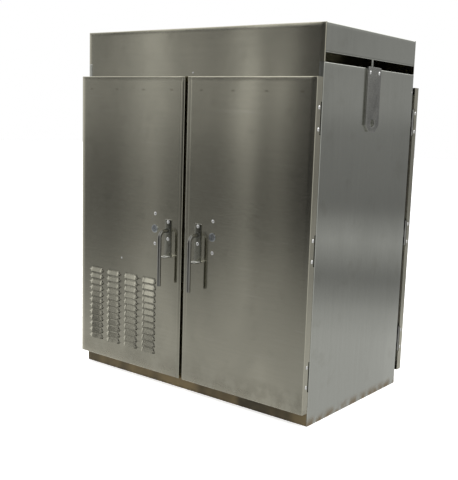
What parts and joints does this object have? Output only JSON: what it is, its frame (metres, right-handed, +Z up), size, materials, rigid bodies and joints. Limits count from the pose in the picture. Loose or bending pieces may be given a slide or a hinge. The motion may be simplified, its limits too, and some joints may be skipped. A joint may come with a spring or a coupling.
{
  "type": "switchboard cabinet",
  "caption": "Free-standing stainless-steel switchboard cabinet with double doors front and rear, rod levers, louvres and a ventilated canopy.",
  "frame": {"origin": "centre of the plinth's anchor holes, on the floor under the middle of the side panels", "axes": "+Z up, +X to the right seen from the front, +Y to the rear; the louvred door is at the front left"},
  "size_m": [1.693, 1.224, 2],
  "materials": {
    "brushed_front": "brushed stainless sheet, grain along the width",
    "brushed_side": "brushed stainless sheet, grain upright",
    "mill_stainless": "dull mill finish",
    "zinc_plate": "zinc plated sheet",
    "passivated_steel": "yellow passivated, dirty",
    "seal_rubber": "matt",
    "lug_steel": "satin",
    "dome_bolts": "polished stainless",
    "handle_plate_steel": "dark satin",
    "polished_bar": "satin round bar",
    "lock_disc": "satin chrome",
    "hinge_steel": "machined",
    "latch_zinc": "zinc plated bar",
    "copper": "bare copper",
    "insulator": "moulded",
    "switch_case": "moulded",
    "breaker_case": "moulded",
    "switch_handle_red": "moulded",
    "toggle_black": "moulded"
  },
  "bodies": {
    "carcass": {"plinth": "passivated_steel", "side_panel_left": "brushed_side", "side_panel_right": "brushed_side", "front_frame": "mill_stainless", "rear_frame": "mill_stainless", "door_seals": "seal_rubber", "base_pan": "zinc_plate", "gland_plate": "mill_stainless", "roof_deck": "mill_stainless", "canopy_front_fascia": "brushed_front", "canopy_rear_fascia": "brushed_front", "canopy_side_fascias": "brushed_side", "canopy_top": "brushed_front", "lifting_lugs": "lug_steel", "case_fasteners": "dome_bolts", "hinge_pins": "hinge_steel", "fixed_hinge_leaves": "hinge_steel", "mounting_pan": "zinc_plate", "busbars": "copper", "busbar_supports": "insulator", "main_switch_body": "switch_case", "outgoing_breakers": "breaker_case"},
    "main_switch_handle": {"main_switch_handle": "switch_handle_red"},
    "breaker_toggle_left": {"breaker_toggle_left": "toggle_black"},
    "breaker_toggle_right": {"breaker_toggle_right": "toggle_black"},
    "front_left_door": {"front_left_door_skin": "brushed_front", "front_left_louvre_panel": "brushed_front", "front_left_door_frame": "mill_stainless", "front_left_hinge_leaves": "hinge_steel", "front_left_door_bolts": "dome_bolts", "front_left_handle_plate": "handle_plate_steel"},
    "front_left_lever": {"front_left_lever": "polished_bar", "front_left_latch_cam": "latch_zinc"},
    "front_left_upper_rod": {"front_left_upper_rod": "latch_zinc"},
    "front_left_lower_rod": {"front_left_lower_rod": "latch_zinc"},
    "front_left_lock": {"front_left_lock": "lock_disc"},
    "front_right_door": {"front_right_door_skin": "brushed_front", "front_right_door_frame": "mill_stainless", "front_right_hinge_leaves": "hinge_steel", "front_right_door_bolts": "dome_bolts", "front_right_handle_plate": "handle_plate_steel"},
    "front_right_lever": {"front_right_lever": "polished_bar", "front_right_latch_cam": "latch_zinc"},
    "front_right_upper_rod": {"front_right_upper_rod": "latch_zinc"},
    "front_right_lower_rod": {"front_right_lower_rod": "latch_zinc"},
    "front_right_lock": {"front_right_lock": "lock_disc"},
    "rear_left_door": {"rear_left_door_skin": "brushed_front", "rear_left_door_frame": "mill_stainless", "rear_left_hinge_leaves": "hinge_steel", "rear_left_door_bolts": "dome_bolts", "rear_left_handle_plate": "handle_plate_steel"},
    "rear_left_lever": {"rear_left_lever": "polished_bar", "rear_left_latch_tongue": "latch_zinc"},
    "rear_right_door": {"rear_right_door_skin": "brushed_front", "rear_right_door_frame": "mill_stainless", "rear_right_hinge_leaves": "hinge_steel", "rear_right_door_bolts": "dome_bolts", "rear_right_handle_plate": "handle_plate_steel"},
    "rear_right_lever": {"rear_right_lever": "polished_bar", "rear_right_latch_tongue": "latch_zinc"}
  },
  "joints": [
    {"name": "front_left_door_hinge", "type": "hinge", "parent": "carcass", "child": "front_left_door", "pos_m": [-0.8215, -0.482, 0.906], "axis": [0, 0, -1], "range_deg": [0, 90]},
    {"name": "front_left_lever_turn", "type": "hinge", "parent": "front_left_door", "child": "front_left_lever", "pos_m": [-0.11, -0.522, 0.905], "axis": [0, 1, 0], "range_deg": [0, 90]},
    {"name": "front_left_upper_rod_slide", "type": "slide", "parent": "front_left_door", "child": "front_left_upper_rod", "axis": [0, 0, 1], "range_m": [-0.0285, 0]},
    {"name": "front_left_lower_rod_slide", "type": "slide", "parent": "front_left_door", "child": "front_left_lower_rod", "axis": [0, 0, 1], "range_m": [0, 0.0285]},
    {"name": "front_left_lock_turn", "type": "hinge", "parent": "front_left_door", "child": "front_left_lock", "pos_m": [-0.212, -0.522, 0.905], "axis": [0, 1, 0], "range_deg": [0, 90]},
    {"name": "front_right_door_hinge", "type": "hinge", "parent": "carcass", "child": "front_right_door", "pos_m": [0.8215, -0.482, 0.906], "axis": [0, 0, 1], "range_deg": [0, 90]},
    {"name": "front_right_lever_turn", "type": "hinge", "parent": "front_right_door", "child": "front_right_lever", "pos_m": [0.11, -0.522, 0.905], "axis": [0, -1, 0], "range_deg": [0, 90]},
    {"name": "front_right_upper_rod_slide", "type": "slide", "parent": "front_right_door", "child": "front_right_upper_rod", "axis": [0, 0, 1], "range_m": [-0.0285, 0]},
    {"name": "front_right_lower_rod_slide", "type": "slide", "parent": "front_right_door", "child": "front_right_lower_rod", "axis": [0, 0, 1], "range_m": [0, 0.0285]},
    {"name": "front_right_lock_turn", "type": "hinge", "parent": "front_right_door", "child": "front_right_lock", "pos_m": [0.212, -0.522, 0.905], "axis": [0, -1, 0], "range_deg": [0, 90]},
    {"name": "rear_left_door_hinge", "type": "hinge", "parent": "carcass", "child": "rear_left_door", "pos_m": [-0.8215, 0.504, 0.906], "axis": [0, 0, 1], "range_deg": [0, 90]},
    {"name": "rear_left_lever_turn", "type": "hinge", "parent": "rear_left_door", "child": "rear_left_lever", "pos_m": [-0.11, 0.544, 0.905], "axis": [0, 1, 0], "range_deg": [0, 90]},
    {"name": "rear_right_door_hinge", "type": "hinge", "parent": "carcass", "child": "rear_right_door", "pos_m": [0.8215, 0.504, 0.906], "axis": [0, 0, -1], "range_deg": [0, 90]},
    {"name": "rear_right_lever_turn", "type": "hinge", "parent": "rear_right_door", "child": "rear_right_lever", "pos_m": [0.11, 0.544, 0.905], "axis": [0, -1, 0], "range_deg": [0, 90]},
    {"name": "main_switch_turn", "type": "hinge", "parent": "carcass", "child": "main_switch_handle", "pos_m": [0, -0.103, 1.02], "axis": [0, 1, 0], "range_deg": [0, 90]},
    {"name": "breaker_toggle_left_flip", "type": "hinge", "parent": "carcass", "child": "breaker_toggle_left", "pos_m": [-0.43, -0.051, 1.05], "axis": [-1, 0, 0], "range_deg": [0, 32]},
    {"name": "breaker_toggle_right_flip", "type": "hinge", "parent": "carcass", "child": "breaker_toggle_right", "pos_m": [0.43, -0.051, 1.05], "axis": [-1, 0, 0], "range_deg": [0, 32]}
  ],
  "couplings": [
    {"joint": "front_left_upper_rod_slide", "follows": "front_left_lever_turn", "m_per_rad": -0.018},
    {"joint": "front_left_lower_rod_slide", "follows": "front_left_lever_turn", "m_per_rad": 0.018},
    {"joint": "front_right_upper_rod_slide", "follows": "front_right_lever_turn", "m_per_rad": -0.018},
    {"joint": "front_right_lower_rod_slide", "follows": "front_right_lever_turn", "m_per_rad": 0.018}
  ]
}
